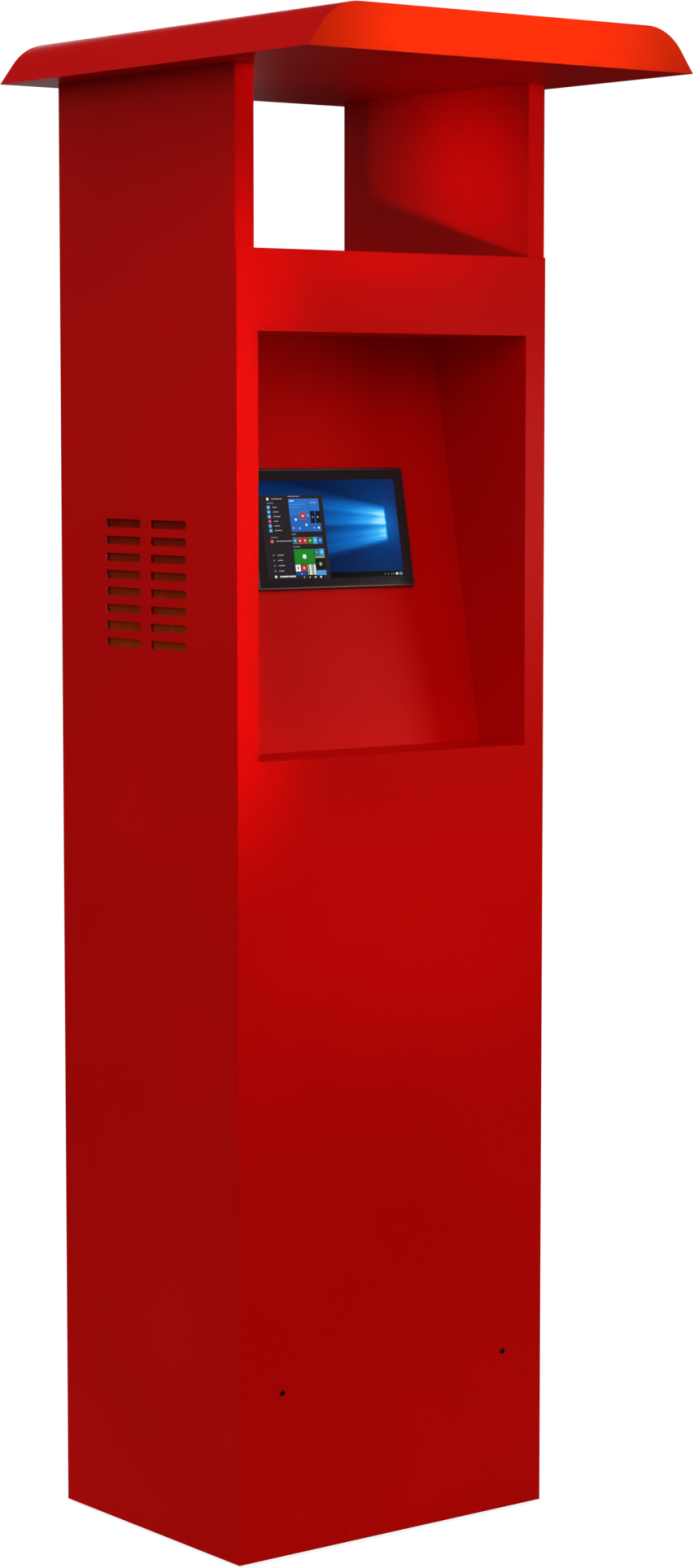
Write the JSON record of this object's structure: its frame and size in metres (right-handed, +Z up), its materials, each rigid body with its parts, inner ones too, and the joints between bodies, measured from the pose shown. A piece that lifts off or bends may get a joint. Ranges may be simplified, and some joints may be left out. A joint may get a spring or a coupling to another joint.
{
  "type": "parking pay station",
  "caption": "free-standing red steel column with a sloping touch screen in a front recess, an open niche and a flat canopy above",
  "frame": {"origin": "centre of the underside of the base plate, on the floor", "axes": "+Z up, +X to the user's right when facing the screen, +Y from the screen side to the rear door"},
  "size_m": [0.648, 0.7045, 2.059],
  "materials": {
    "red_coat": "satin red powder coat on folded steel sheet",
    "inner_coat": "light grey primer coat on inner steel brackets",
    "zinc": "zinc plated steel, bright",
    "hardware": "stainless fasteners, brushed",
    "seal": "black EPDM foam rubber, matt",
    "bezel_coat": "dark grey fine-texture coat on aluminium",
    "cover_glass": "chemically strengthened cover glass over a lit display",
    "display": "liquid crystal panel",
    "cast_housing": "die-cast aluminium, matt",
    "board": "green circuit board with dark chips",
    "black_plastic": "moulded black plastic",
    "grey_plastic": "moulded light grey plastic",
    "filter": "brown synthetic filter mat",
    "cable_sheath": "black cable sheath"
  },
  "bodies": {
    "root": {"base_plate": "zinc", "gland_plate": "zinc", "cable_gland": "black_plastic", "gland_locknut": "black_plastic", "left_side_panel": "red_coat", "right_side_panel": "red_coat", "left_post_liner": "red_coat", "right_post_liner": "red_coat", "m8_bolts": "hardware", "niche_floor_tray": "red_coat", "rear_header": "red_coat", "rear_sill": "red_coat", "front_sill": "red_coat", "front_crossmember": "inner_coat", "screw_inserts": "zinc", "front_panel": "red_coat", "front_panel_screws": "hardware", "recess_surround": "red_coat", "surround_nuts": "hardware", "screen_panel": "red_coat", "screen_gasket": "seal", "screen_bezel": "bezel_coat", "touch_glass": "cover_glass", "lcd_module": "display", "screen_housing": "cast_housing", "main_board": "board", "screen_clamps": "zinc", "clamp_screws": "hardware", "screen_plug": "black_plastic", "canopy_shell": "red_coat", "canopy_soffit": "red_coat", "canopy_rails": "inner_coat", "hinge_frame_leaves": "red_coat", "hinge_pins": "hardware", "filter_tray": "inner_coat", "filter_mat": "filter", "fan_tray": "inner_coat", "fan_housing": "black_plastic", "fan_guard": "hardware", "equipment_plate": "zinc", "din_rail": "zinc", "power_supply": "cast_housing", "circuit_breaker": "grey_plastic", "surge_arrester": "grey_plastic", "terminal_blocks": "grey_plastic", "controller": "cast_housing", "display_cable": "cable_sheath", "m4_screws": "hardware"},
    "door": {"rear_door": "red_coat", "door_stiffener": "inner_coat", "door_gasket": "seal", "hinge_door_leaves": "red_coat", "lock_bodies": "zinc", "lock_nuts": "zinc"},
    "upper_lock": {"upper_lock_plug": "zinc", "upper_lock_cam": "zinc"},
    "lower_lock": {"lower_lock_plug": "zinc", "lower_lock_cam": "zinc"},
    "fan": {"fan_rotor": "black_plastic"},
    "breaker_lever": {"breaker_toggle": "black_plastic"}
  },
  "joints": [
    {"name": "rear_door_hinge", "type": "hinge", "parent": "root", "child": "door", "pos_m": [0.23375, 0.2135, 0.9], "axis": [0, 0, -1], "range_deg": [0, 130]},
    {"name": "upper_lock_turn", "type": "hinge", "parent": "door", "child": "upper_lock", "pos_m": [-0.2045, 0.2, 1.24], "axis": [0, -1, 0], "range_deg": [0, 90]},
    {"name": "lower_lock_turn", "type": "hinge", "parent": "door", "child": "lower_lock", "pos_m": [-0.2045, 0.2, 0.56], "axis": [0, -1, 0], "range_deg": [0, 90]},
    {"name": "fan_spin", "type": "hinge", "parent": "root", "child": "fan", "pos_m": [0.2365, 0.02077, 1.316], "axis": [1, 0, 0], "continuous": true},
    {"name": "breaker_switch", "type": "hinge", "parent": "root", "child": "breaker_lever", "pos_m": [-0.1052, -0.081, 0.76], "axis": [-1, 0, 0], "range_deg": [0, 50]}
  ]
}
